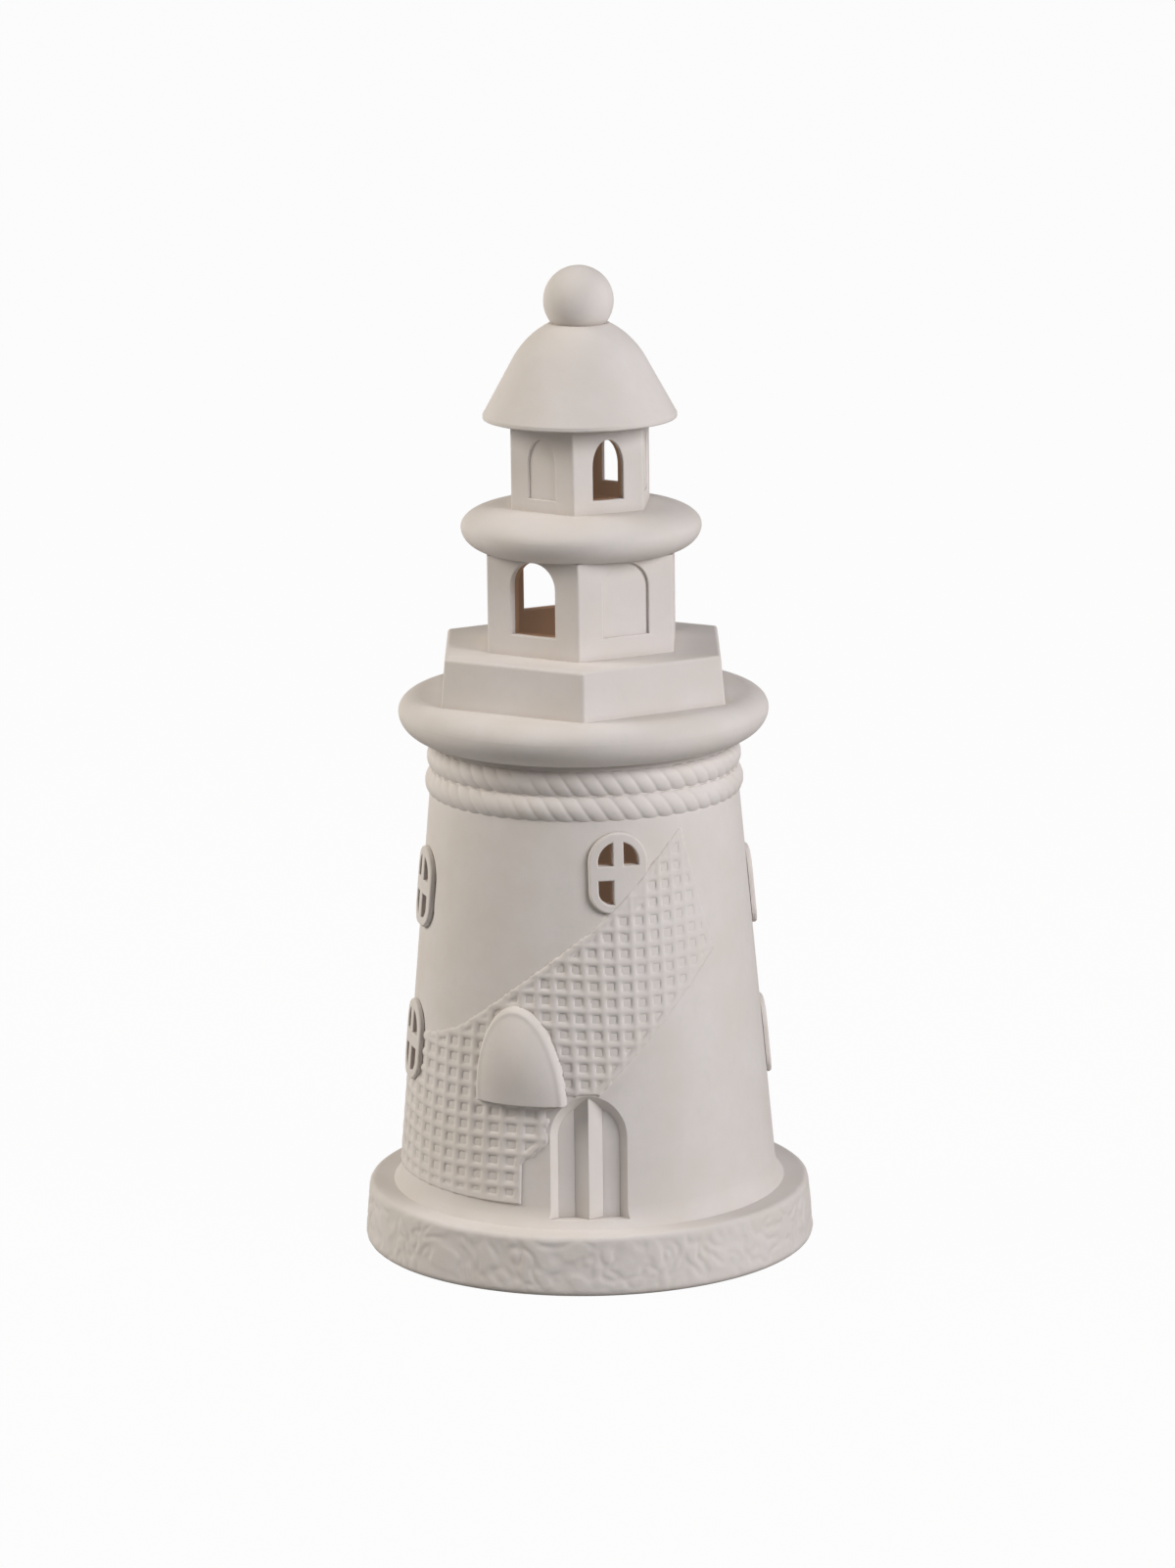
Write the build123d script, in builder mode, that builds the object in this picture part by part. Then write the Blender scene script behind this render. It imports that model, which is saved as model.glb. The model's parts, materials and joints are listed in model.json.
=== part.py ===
# Bisque lighthouse lantern. A tapered tower, with two galleries, a watch room, a lantern room, a bell
# roof and a ball finial luted on top of it, lifts off a round plinth that carries a tealight.
# Millimetres, +Z up, origin at the centre of the plinth's underside. The door faces -Y, and an azimuth
# is counted in degrees from -Y towards +X.
import math
import os

from build123d import *

os.makedirs("parts", exist_ok=True)

# Joints between pieces
lute_gap = 0.15  # slip joint between fixed pieces whose curved faces meet
lift_gap = 0.4  # room round what lifts out
reach = 80.0  # how far a radial cut runs from the axis, past every wall

# Round plinth
base_bottom_radius = 57.6
base_top_radius = 56.2
base_height = 15.3
base_top_round = 1.8
base_bottom_round = 2.2
locating_height = 3.0
locating_width = 3.0

# Tealight
cup_radius = 19.0
cup_height = 16.0
cup_wall = 0.5
seat_depth = 2.5
wax_depth = 11.0
tab_radius = 6.0
tab_thickness = 0.6
wick_radius = 0.8
wick_above_wax = 6.0

# Tower shell
tower_foot_radius = 48.2
tower_top_radius = 37.9
tower_height = 115.9
tower_wall = 5.0
foot_flare = 1.8
foot_flare_height = 5.0

# Rope mouldings
rope_radius = 4.2
rope_proud = 1.3
rope_pitch = 6.3
rope_drop = 5.5  # from the tower's top to the middle of the upper rope

# Main gallery
gallery_radius = 46.7
gallery_rise = 6.4  # from the seat to the rim
gallery_bowl_width = 11.0
gallery_bowl_height = 7.6
gallery_edge = 4.5
gallery_bore = 27.0

# Six-sided plinth, measured to its corners
plinth_bottom_radius = 40.8
plinth_top_radius = 39.6
plinth_height = 12.3
plinth_wall = 5.0
plinth_round = 0.9

# Watch room, measured to its corners
watch_radius = 26.7
watch_height = 24.6
watch_wall = 4.0
watch_turn = -2.0  # degrees, from a corner straight at the front
watch_arch_width = 12.8
watch_arch_height = 18.4
watch_arch_rise = 6.4
watch_sill = 5.4
watch_blind = 0.8

# Upper gallery
upper_radius = 30.2
upper_rise = 5.4  # from the seat to the rim
upper_bowl_width = 9.0
upper_bowl_height = 6.3
upper_edge = 5.4
upper_bore = 11.0

# Lantern room, measured to its corners
lantern_radius = 19.05
lantern_height = 21.7
lantern_wall = 3.5
lantern_turn = -5.5
lantern_arch_width = 8.2
lantern_arch_height = 15.0
lantern_arch_rise = 6.8
lantern_sill = 3.3
lantern_blind = 0.5

# Both rooms and both galleries
corner_round = 0.7
arch_round = 0.35
ledge_clear = 0.4  # from a stage's corners to where the gallery under it starts to fall

# Roof and finial
roof_radius = 24.3
roof_height = 23.8
roof_eave = 1.1
roof_eave_round = 0.45
roof_shoulder_radius = 16.7
roof_shoulder_height = 14.9
roof_crown_radius = 7.6
roof_wall = 6.0
ball_radius = 8.8
ball_seat = 5.6  # height of the ball's centre above the roof
spigot_radius = 3.0
spigot_length = 4.0

# Windows in the tower
pane_width = 10.2
pane_height = 15.6
pane_corner = 3.2
mullion_width = 2.7
transom_width = 3.6
plug_edge = 0.9  # from the panes to the edge of what sits in the wall
flange_edge = 2.3  # from the panes to the edge of the raised surround
flange_proud = 1.2
flange_round = 0.6
pane_round = 0.35
plug_depth = 3.0
front_window_azimuth = 11.5
quarter_turn = 88.5  # from one window to the next round the tower
front_window_drop = 27.1  # from the tower's top to the window's middle
left_upper_drop = 37.0
left_lower_rise = 39.4  # from the tower's foot to the window's middle
right_upper_drop = 41.0
right_lower_rise = 35.2

# Double door in its splayed recess
door_rise = 2.0  # from the tower's foot to the sill
door_width = 13.6  # on the floor of the recess
door_spring = 20.3  # from the sill to where the round head starts
door_depth = 3.8
door_splay = 45.0
door_gap = 0.05  # between the leaves and what frames them
leaf_thickness = 0.9
post_width = 7.0
post_proud = 3.3

# Domed hood left of the door
hood_azimuth = -22.5
hood_width = 24.0
hood_height = 24.5
hood_lean = 4.0  # degrees, to the left
hood_rise = 30.7  # from the tower's foot to its lower edge
hood_plate = 0.8
hood_rim_width = 1.7
hood_rim_proud = 1.9
hood_dome_radius = 16.0
hood_dome_proud = 3.6
hood_dome_rise = 3.0

# Fishing net: its edges lie in slanting planes through the tower
net_head_azimuth = -18.0
net_head_drop = 52.6  # from the tower's top, on the axis
net_head_slope = 0.77
net_tail_azimuth = 15.0
net_tail_drop = 32.2
net_tail_slope = 1.0
net_end_azimuth = 43.0
net_end_drop = 33.7
net_end_slope = -3.9
net_foot_azimuth = 13.0
net_foot_rise = 40.4  # from the tower's foot, on the axis
net_foot_slope = 1.0
net_corner_azimuth = -21.0  # left of it the net hangs down to the tower's foot
net_left_azimuth = -108.0
net_right_azimuth = 54.0
net_thickness = 0.9
mesh_pitch = 4.1
mesh_cord = 1.5

# Heights of the stages
tower_foot = base_height
tower_top = tower_foot + tower_height
gallery_top = tower_top + gallery_rise + gallery_edge
plinth_top = gallery_top + plinth_height
watch_top = plinth_top + watch_height
upper_top = watch_top + upper_rise + upper_edge
lantern_top = upper_top + lantern_height
roof_top = lantern_top + roof_height
ball_centre = roof_top + ball_seat
seat_floor = base_height - seat_depth
tower_taper = (tower_foot_radius - tower_top_radius) / tower_height
taper_angle = math.degrees(math.atan(tower_taper))
hex_flat = math.cos(math.radians(30))  # middle of a side to corner of a hexagon
rope_half_height = math.sqrt(rope_radius**2 - (rope_radius - rope_proud) ** 2)


def wall_radius(height):
    """Outer radius of the plain tower wall at a height."""
    return tower_foot_radius - tower_taper * (height - tower_foot)


def radial(azimuth):
    """Unit vector that points out of the tower at an azimuth."""
    angle = math.radians(azimuth)
    return Vector(math.sin(angle), -math.cos(angle), 0)


def along(azimuth):
    """Unit vector along the wall, towards growing azimuth."""
    angle = math.radians(azimuth)
    return Vector(math.cos(angle), math.sin(angle), 0)


def facing(azimuth, height, distance=0.0):
    """Upright plane that faces out at an azimuth, at a distance from the axis."""
    origin = radial(azimuth) * distance + Vector(0, 0, height)
    return Plane(origin=origin, x_dir=along(azimuth), z_dir=radial(azimuth))


def slanting(azimuth, height, slope):
    """Plane through the axis at a height that climbs towards growing azimuth."""
    uphill = along(azimuth) * slope
    return Plane(origin=(0, 0, height), z_dir=Vector(0, 0, 1) - uphill)


def slant_height(azimuth, plane_azimuth, height, slope, radius):
    """Height of a slanting plane where it meets a radius at an azimuth."""
    return height + slope * radius * math.sin(math.radians(azimuth - plane_azimuth))


def save(piece, label):
    """Label a finished piece and write it."""
    piece.part.label = label
    export_step(piece.part, f"parts/{label}.step")


def wall_layer(inside, outside, low, high):
    """Part of a cone that follows the tower wall, between two distances from its outer face."""
    with BuildPart() as layer:
        with BuildSketch(Plane.XZ):
            with BuildLine():
                Polyline(
                    (wall_radius(low) + inside, low),
                    (wall_radius(low) + outside, low),
                    (wall_radius(high) + outside, high),
                    (wall_radius(high) + inside, high),
                    close=True,
                )
            make_face()
        revolve(axis=Axis.Z)
    return layer.part


def round_head(width, height):
    """Round-headed outline that stands on the origin."""
    with BuildSketch() as outline:
        with BuildLine():
            spring = height - width / 2
            Line((-width / 2, spring), (-width / 2, 0))
            Line((-width / 2, 0), (width / 2, 0))
            Line((width / 2, 0), (width / 2, spring))
            ThreePointArc((width / 2, spring), (0, height), (-width / 2, spring))
        make_face()
    return outline.sketch


def arch_outline(width, height, rise):
    """Arch that stands on the origin, with a half-oval head."""
    with BuildSketch() as outline:
        with BuildLine():
            spring = height - rise
            Line((-width / 2, spring), (-width / 2, 0))
            Line((-width / 2, 0), (width / 2, 0))
            Line((width / 2, 0), (width / 2, spring))
            EllipticalCenterArc((0, spring), width / 2, rise, 0, arc_size=180)
        make_face()
    return outline.sketch


def window_outline(edge):
    """Round-headed window outline about its middle, a margin larger than its panes."""
    width = pane_width + 2 * edge
    height = pane_height + 2 * edge
    with BuildSketch() as outline:
        with Locations((0, -height / 2)):
            add(round_head(width, height))
        fillet(outline.vertices().group_by(Axis.Y)[0], pane_corner + edge)
    return outline.sketch


def window_panes(netted):
    """Panes between the mullion and the transom, less the lower right one where the net closes it."""
    with BuildSketch() as panes:
        add(window_outline(0))
        Rectangle(mullion_width, pane_height, mode=Mode.SUBTRACT)
        Rectangle(pane_width, transom_width, mode=Mode.SUBTRACT)
        if netted:
            with Locations((pane_width / 2, -pane_height / 2)):
                Rectangle(pane_width, pane_height, mode=Mode.SUBTRACT)
    return panes.sketch


def hood_outline(inset):
    """Half-oval outline that stands on the origin, drawn in from the hood's edge."""
    with BuildSketch() as outline:
        Ellipse(hood_width / 2 - inset, hood_height - inset, rotation=hood_lean)
        with Locations((0, -hood_height)):
            Rectangle(2 * hood_width, 2 * hood_height, mode=Mode.SUBTRACT)
    return outline.sketch


# Windows: name, azimuth and height of the middle
windows = [
    ("window_front", front_window_azimuth, tower_top - front_window_drop),
    ("window_right_upper", front_window_azimuth + quarter_turn, tower_top - right_upper_drop),
    ("window_right_lower", front_window_azimuth + quarter_turn, tower_foot + right_lower_rise),
    ("window_left_upper", front_window_azimuth - quarter_turn, tower_top - left_upper_drop),
    ("window_left_lower", front_window_azimuth - quarter_turn, tower_foot + left_lower_rise),
    ("window_back", front_window_azimuth + 2 * quarter_turn, tower_top - front_window_drop),
]

# Planes of the door, the hood and the net
door_sill = tower_foot + door_rise
door_foot = radial(0) * (wall_radius(door_sill) - door_depth) + Vector(0, 0, door_sill)
door_plane = Plane(origin=door_foot, x_dir=along(0), z_dir=radial(0)).rotated((-taper_angle, 0, 0))
door_height = door_spring + door_width / 2
hood_sill = tower_foot + hood_rise
hood_plane = facing(hood_azimuth, hood_sill)
net_head_height = tower_top - net_head_drop
net_tail_height = tower_top - net_tail_drop
net_end_height = tower_top - net_end_drop
net_foot_height = tower_foot + net_foot_rise
net_head = slanting(net_head_azimuth, net_head_height, net_head_slope)
net_tail = slanting(net_tail_azimuth, net_tail_height, net_tail_slope)
net_end = slanting(net_end_azimuth, net_end_height, net_end_slope)
net_foot = slanting(net_foot_azimuth, net_foot_height, net_foot_slope)
net_corner = Plane(origin=(0, 0, 0), z_dir=along(net_corner_azimuth))

# Round plinth with the ring that locates the tower and the seat of the tealight
locating_top = base_height + locating_height
locating_radius = wall_radius(locating_top) - tower_wall - lift_gap
with BuildPart() as base_plinth:
    with BuildSketch(Plane.XZ) as base_section:
        with BuildLine():
            Polyline(
                (0, 0),
                (base_bottom_radius, 0),
                (base_top_radius, base_height),
                (locating_radius, base_height),
                (locating_radius, locating_top),
                (locating_radius - locating_width, locating_top),
                (locating_radius - locating_width, base_height),
                (cup_radius + lift_gap, base_height),
                (cup_radius + lift_gap, seat_floor),
                (0, seat_floor),
                close=True,
            )
        make_face()
        levels = base_section.vertices().group_by(Axis.Y)
        underside, top_face = levels[0], levels[2]
        fillet(underside.sort_by(Axis.X)[-1], base_bottom_round)
        fillet(top_face.sort_by(Axis.X)[-1], base_top_round)
    revolve(axis=Axis.Z)
save(base_plinth, "base_plinth")

# Tealight: a thin cup, its wax, and a wick held by a tab on the floor of the cup
with BuildPart() as tealight_cup:
    with BuildSketch(Plane.XY.offset(seat_floor)):
        Circle(cup_radius)
    extrude(amount=cup_height)
    with BuildSketch(Plane.XY.offset(seat_floor + cup_wall)):
        Circle(cup_radius - cup_wall)
    extrude(amount=cup_height, mode=Mode.SUBTRACT)
save(tealight_cup, "tealight_cup")

cup_floor = seat_floor + cup_wall
with BuildPart() as wick_tab:
    with BuildSketch(Plane.XY.offset(cup_floor)):
        Circle(tab_radius)
        Circle(wick_radius, mode=Mode.SUBTRACT)
    extrude(amount=tab_thickness)
save(wick_tab, "wick_tab")

with BuildPart() as tealight_wick:
    with BuildSketch(Plane.XY.offset(cup_floor)):
        Circle(wick_radius)
    extrude(amount=wax_depth + wick_above_wax)
save(tealight_wick, "tealight_wick")

with BuildPart() as tealight_wax:
    with BuildSketch(Plane.XY.offset(cup_floor)):
        Circle(cup_radius - cup_wall)
        Circle(wick_radius, mode=Mode.SUBTRACT)
    extrude(amount=wax_depth)
    with BuildSketch(Plane.XY.offset(cup_floor)):
        Circle(tab_radius)
    extrude(amount=tab_thickness, mode=Mode.SUBTRACT)
save(tealight_wax, "tealight_wax")

# Tower shell with a coved foot, window holes and the door's splayed recess over a level sill
with BuildPart() as door_recess:
    with BuildSketch(door_plane):
        add(round_head(door_width, door_height))
    extrude(amount=2 * door_depth, taper=-door_splay)
    split(bisect_by=Plane.XY.offset(door_sill), keep=Keep.TOP)

with BuildPart() as tower_wall_shell:
    with BuildSketch(Plane.XZ):
        with BuildLine():
            flare_top = tower_foot + foot_flare_height
            foot_outer = (tower_foot_radius + foot_flare, tower_foot)
            foot_inner = (tower_foot_radius - tower_wall, tower_foot)
            cove_top = (wall_radius(flare_top), flare_top)
            Line(foot_inner, foot_outer)
            TangentArc(cove_top, foot_outer, tangent=(tower_taper, -1))
            Line(cove_top, (tower_top_radius, tower_top))
            Line((tower_top_radius, tower_top), (tower_top_radius - tower_wall, tower_top))
            Line((tower_top_radius - tower_wall, tower_top), foot_inner)
        make_face()
    revolve(axis=Axis.Z)
    for name, azimuth, middle in windows:
        with BuildSketch(facing(azimuth, middle)):
            add(window_outline(plug_edge + lute_gap))
        extrude(amount=reach, mode=Mode.SUBTRACT)
    add(door_recess.part, mode=Mode.SUBTRACT)
save(tower_wall_shell, "tower_wall")

# Door leaves on the floor of the recess, either side of a three-cornered post
door_floor = Plane.XY.offset(door_sill + door_gap)
for side, name in ((-1, "door_left_leaf"), (1, "door_right_leaf")):
    with BuildPart() as leaf:
        with BuildSketch(door_plane):
            add(round_head(door_width - 2 * door_gap, door_height - door_gap))
        extrude(amount=leaf_thickness, taper=-door_splay)
        split(bisect_by=door_floor, keep=Keep.TOP)
        with BuildSketch(door_plane):
            with Locations((-side * door_width, door_height / 2)):
                Rectangle(2 * door_width + post_width + 2 * door_gap, 2 * door_height)
        extrude(amount=leaf_thickness, mode=Mode.SUBTRACT)
    save(leaf, name)

with BuildPart() as door_centre_post:
    with BuildSketch(Plane(origin=door_plane.origin, x_dir=door_plane.x_dir, z_dir=-door_plane.y_dir)):
        with BuildLine():
            Polyline(
                (-post_width / 2, 0),
                (post_width / 2, 0),
                (post_width / 2, leaf_thickness),
                (0, post_proud),
                (-post_width / 2, leaf_thickness),
                close=True,
            )
        make_face()
    extrude(amount=2 * door_height, both=True)
    with BuildSketch(door_plane):
        add(round_head(door_width - 2 * door_gap, door_height - door_gap))
    extrude(amount=2 * post_proud, taper=-door_splay, mode=Mode.INTERSECT)
    split(bisect_by=door_floor, keep=Keep.TOP)
save(door_centre_post, "door_centre_post")

# Window castings: a plug in the wall and a raised surround, with the panes cut through
for name, azimuth, middle in windows:
    plane = facing(azimuth, middle)
    netted = name == "window_front"
    with BuildPart() as surround:
        with BuildSketch(plane):
            add(window_outline(flange_edge))
        extrude(amount=reach)
        add(wall_layer(lute_gap, lute_gap + flange_proud, tower_foot, tower_top), mode=Mode.INTERSECT)
        if netted:
            split(bisect_by=net_tail.offset(lute_gap), keep=Keep.TOP)
    with BuildPart() as casting:
        with BuildSketch(plane):
            add(window_outline(plug_edge))
        extrude(amount=reach)
        add(wall_layer(-plug_depth, lute_gap, tower_foot, tower_top), mode=Mode.INTERSECT)
        add(surround.part)
        with BuildSketch(plane):
            add(window_panes(netted))
        extrude(amount=reach, mode=Mode.SUBTRACT)
        outside = radial(azimuth) * reach + Vector(0, 0, middle)
        front = casting.faces().filter_by(GeomType.CONE).sort_by_distance(outside)[0]
        fillet([edge for pane in front.inner_wires() for edge in pane.edges()], pane_round)
        front = casting.faces().filter_by(GeomType.CONE).sort_by_distance(outside)[0]
        rim = front.outer_wire().edges()
        if netted:
            rim = [edge for edge in rim if abs(net_tail.to_local_coords(edge @ 0.5).Z) > 2 * lute_gap]
        fillet(rim, flange_round)
    save(casting, name)

# Domed hood: a plate that follows the wall, a raised rim and a swelling middle
hood_middle = hood_sill + hood_dome_rise
dome_distance = wall_radius(hood_middle) + hood_dome_proud - hood_dome_radius
with BuildPart() as hood_rim:
    with BuildSketch(hood_plane):
        add(hood_outline(0))
        add(hood_outline(hood_rim_width), mode=Mode.SUBTRACT)
    extrude(amount=reach)
    add(wall_layer(lute_gap, lute_gap + hood_rim_proud, tower_foot, tower_top), mode=Mode.INTERSECT)
with BuildPart() as hood_dome:
    with BuildSketch(hood_plane):
        add(hood_outline(hood_rim_width))
    extrude(amount=reach)
    with Locations(radial(hood_azimuth) * dome_distance + Vector(0, 0, hood_middle)):
        Sphere(hood_dome_radius, mode=Mode.INTERSECT)
    add(wall_layer(lute_gap, reach, tower_foot, tower_top), mode=Mode.INTERSECT)
with BuildPart() as arched_hood:
    with BuildSketch(hood_plane):
        add(hood_outline(0))
    extrude(amount=reach)
    add(wall_layer(lute_gap, lute_gap + hood_plate, tower_foot, tower_top), mode=Mode.INTERSECT)
    add(hood_rim.part)
    add(hood_dome.part)
save(arched_hood, "arched_hood")

# Rope mouldings: round cords bedded in the wall, the upper one close under the gallery
upper_rope_height = tower_top - rope_drop
for name, middle in (("rope_upper", upper_rope_height), ("rope_lower", upper_rope_height - rope_pitch)):
    with BuildPart() as rope:
        with BuildSketch(Plane.XZ):
            with Locations((wall_radius(middle) + rope_proud - rope_radius, middle)):
                Circle(rope_radius)
            with BuildLine():
                below = middle - 2 * rope_radius
                above = middle + 2 * rope_radius
                Polyline(
                    (wall_radius(below) + lute_gap, below),
                    (wall_radius(above) + lute_gap, above),
                    (0, above),
                    (0, below),
                    close=True,
                )
            make_face(mode=Mode.SUBTRACT)
        revolve(axis=Axis.Z)
    save(rope, name)

# Fishing net: a thin skin between its slanting planes, with its meshes cut through
net_low = tower_foot + foot_flare_height + lute_gap
net_high = upper_rope_height - rope_pitch - rope_half_height - lute_gap
net_hole = mesh_pitch - mesh_cord
door_mouth = door_width + 2 * door_depth * math.tan(math.radians(door_splay))
column_step = math.degrees(mesh_pitch / wall_radius((net_low + net_high) / 2))


def in_net(azimuth, height):
    """True where a whole mesh fits between the net's edges, clear of the hood, door and windows."""
    radius = wall_radius(height)
    margin = net_hole / 2 + mesh_cord
    slant_margin = net_hole / math.sqrt(2) + mesh_cord
    head = slant_height(azimuth, net_head_azimuth, net_head_height, net_head_slope, radius)
    tail = slant_height(azimuth, net_tail_azimuth, net_tail_height, net_tail_slope, radius)
    end = slant_height(azimuth, net_end_azimuth, net_end_height, net_end_slope, radius)
    foot = slant_height(azimuth, net_foot_azimuth, net_foot_height, net_foot_slope, radius)
    if height > max(head, tail) - slant_margin * math.hypot(1, net_tail_slope):
        return False
    if height > end - slant_margin * math.hypot(1, net_end_slope):
        return False
    right_of_corner = azimuth > net_corner_azimuth - math.degrees(margin / radius)
    if right_of_corner and height < foot + slant_margin * math.hypot(1, net_foot_slope):
        return False
    hood_spot = Vector(radius * math.sin(math.radians(azimuth - hood_azimuth)), height - hood_sill)
    hood_spot = hood_spot.rotate(Axis.Z, -hood_lean)
    hood_share = math.hypot(hood_spot.X / (hood_width / 2 + margin), hood_spot.Y / (hood_height + margin))
    if height > hood_sill - margin and hood_share < 1:
        return False
    door_x = radius * math.sin(math.radians(azimuth))
    if abs(door_x) < door_mouth / 2 + margin and height < door_sill + door_height + 2 * margin:
        return False
    for name, window_azimuth, middle in windows[1:]:
        window_x = radius * math.radians(azimuth - window_azimuth)
        wide = abs(window_x) < pane_width / 2 + flange_edge + 2 * margin
        if wide and abs(height - middle) < pane_height / 2 + flange_edge + 2 * margin:
            return False
    return True


mesh_spots = []
for row in range(int((net_high - net_low) / mesh_pitch)):
    height = net_low + (row + 0.5) * mesh_pitch
    for column in range(int((net_right_azimuth - net_left_azimuth) / column_step)):
        azimuth = net_left_azimuth + (column + 0.5) * column_step
        if in_net(azimuth, height):
            mesh_spots.append(facing(azimuth, height, wall_radius(height)).location)
print("net meshes:", len(mesh_spots))

with BuildPart() as above_net:
    Cylinder(reach, 4 * reach)
    split(bisect_by=net_head, keep=Keep.TOP)
    split(bisect_by=net_tail, keep=Keep.TOP)

with BuildPart() as beside_net:
    Cylinder(reach, 4 * reach)
    split(bisect_by=net_foot, keep=Keep.BOTTOM)
    split(bisect_by=net_corner, keep=Keep.TOP)

net_start = Plane(origin=(0, 0, 0), x_dir=radial(net_left_azimuth), z_dir=-along(net_left_azimuth))
with BuildPart() as fishing_net:
    with BuildSketch(net_start):
        with BuildLine():
            Polyline(
                (wall_radius(net_low) + lute_gap, net_low),
                (wall_radius(net_low) + lute_gap + net_thickness, net_low),
                (wall_radius(net_high) + lute_gap + net_thickness, net_high),
                (wall_radius(net_high) + lute_gap, net_high),
                close=True,
            )
        make_face()
    revolve(axis=Axis.Z, revolution_arc=net_right_azimuth - net_left_azimuth)
    split(bisect_by=net_end, keep=Keep.BOTTOM)
    add(above_net.part, mode=Mode.SUBTRACT)
    add(beside_net.part, mode=Mode.SUBTRACT)
    with BuildSketch(hood_plane):
        add(hood_outline(-lute_gap))
    extrude(amount=reach, mode=Mode.SUBTRACT)
    with BuildSketch(facing(0, door_sill)):
        add(round_head(door_mouth + mesh_cord, door_height + mesh_cord))
    extrude(amount=reach, mode=Mode.SUBTRACT)
    for name, azimuth, middle in windows[1:]:
        with BuildSketch(facing(azimuth, middle)):
            add(window_outline(flange_edge + lute_gap))
        extrude(amount=reach, mode=Mode.SUBTRACT)
    with Locations(*mesh_spots):
        Box(net_hole, net_hole, 4 * net_thickness, mode=Mode.SUBTRACT)
save(fishing_net, "fishing_net")


def gallery(low, radius, rise, bowl_width, bowl_height, edge, stage_radius, bore):
    """Round gallery: a bowl cut level underneath, a rim that falls away from the stage on it, and a bore."""
    rim = low + rise
    top = rim + edge
    ledge = stage_radius + ledge_clear
    bowl_angle = math.degrees(math.asin(rise / bowl_height))
    with BuildPart() as ring:
        with BuildSketch(Plane.XZ):
            with BuildLine():
                bowl = EllipticalCenterArc(
                    (radius - bowl_width, rim), bowl_width, bowl_height, -bowl_angle, arc_size=bowl_angle
                )
                Line((bore, low), bowl @ 0)
                EllipticalCenterArc((ledge, rim), radius - ledge, edge, 0, arc_size=90)
                Line((ledge, top), (bore, top))
                Line((bore, top), (bore, low))
            make_face()
        revolve(axis=Axis.Z)
    return ring


main_gallery = gallery(
    tower_top,
    gallery_radius,
    gallery_rise,
    gallery_bowl_width,
    gallery_bowl_height,
    gallery_edge,
    plinth_bottom_radius,
    gallery_bore,
)
save(main_gallery, "main_gallery")

# Six-sided plinth: a drawn-in block, hollow below and open to the room above
with BuildPart() as hex_plinth:
    with BuildSketch(Plane.XY.offset(gallery_top)):
        RegularPolygon(plinth_bottom_radius, 6, rotation=30)
    with BuildSketch(Plane.XY.offset(plinth_top)):
        RegularPolygon(plinth_top_radius, 6, rotation=30)
    loft(ruled=True)
    fillet(hex_plinth.edges().sort_by(Axis.Z)[6:], plinth_round)
    with BuildSketch(Plane.XY.offset(gallery_top)):
        RegularPolygon(plinth_top_radius - plinth_wall / hex_flat, 6, rotation=30)
    extrude(amount=plinth_height - plinth_wall, mode=Mode.SUBTRACT)
    with BuildSketch(Plane.XY.offset(gallery_top)):
        RegularPolygon(watch_radius - watch_wall / hex_flat, 6, rotation=30 + watch_turn)
    extrude(amount=plinth_height, mode=Mode.SUBTRACT)
save(hex_plinth, "hex_plinth")


def room(low, radius, height, wall, turn, arch, sill, blind_depth, pierced, blind):
    """Six-sided room with pierced arches on some sides and shallow blind arches on the others."""
    flat = radius * hex_flat
    with BuildPart() as walls:
        with BuildSketch(Plane.XY.offset(low)):
            RegularPolygon(radius, 6, rotation=30 + turn)
        extrude(amount=height)
        fillet(walls.edges().filter_by(Axis.Z), corner_round)
        with BuildSketch(Plane.XY.offset(low)):
            RegularPolygon(radius - wall / hex_flat, 6, rotation=30 + turn)
        extrude(amount=height, mode=Mode.SUBTRACT)
        for azimuth in pierced:
            with BuildSketch(facing(azimuth + turn, low + sill, flat - 2 * wall)):
                add(arch)
            extrude(amount=4 * wall, mode=Mode.SUBTRACT)
        for azimuth in blind:
            with BuildSketch(facing(azimuth + turn, low + sill, flat - blind_depth)):
                add(arch)
            extrude(amount=2 * blind_depth, mode=Mode.SUBTRACT)
        sides = walls.faces().filter_by(Axis.Z, reverse=True)
        arches = [edge for side in sides for wire in side.inner_wires() for edge in wire.edges()]
        fillet(arches, arch_round)
    return walls


watch_room = room(
    plinth_top,
    watch_radius,
    watch_height,
    watch_wall,
    watch_turn,
    arch_outline(watch_arch_width, watch_arch_height, watch_arch_rise),
    watch_sill,
    watch_blind,
    pierced=(90, 210, 330),
    blind=(30, 150, 270),
)
save(watch_room, "watch_room")

upper_gallery = gallery(
    watch_top,
    upper_radius,
    upper_rise,
    upper_bowl_width,
    upper_bowl_height,
    upper_edge,
    lantern_radius,
    upper_bore,
)
save(upper_gallery, "upper_gallery")

lantern_room = room(
    upper_top,
    lantern_radius,
    lantern_height,
    lantern_wall,
    lantern_turn,
    arch_outline(lantern_arch_width, lantern_arch_height, lantern_arch_rise),
    lantern_sill,
    lantern_blind,
    pierced=(30, 150, 270),
    blind=(90, 210, 330),
)
save(lantern_room, "lantern_room")

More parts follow.
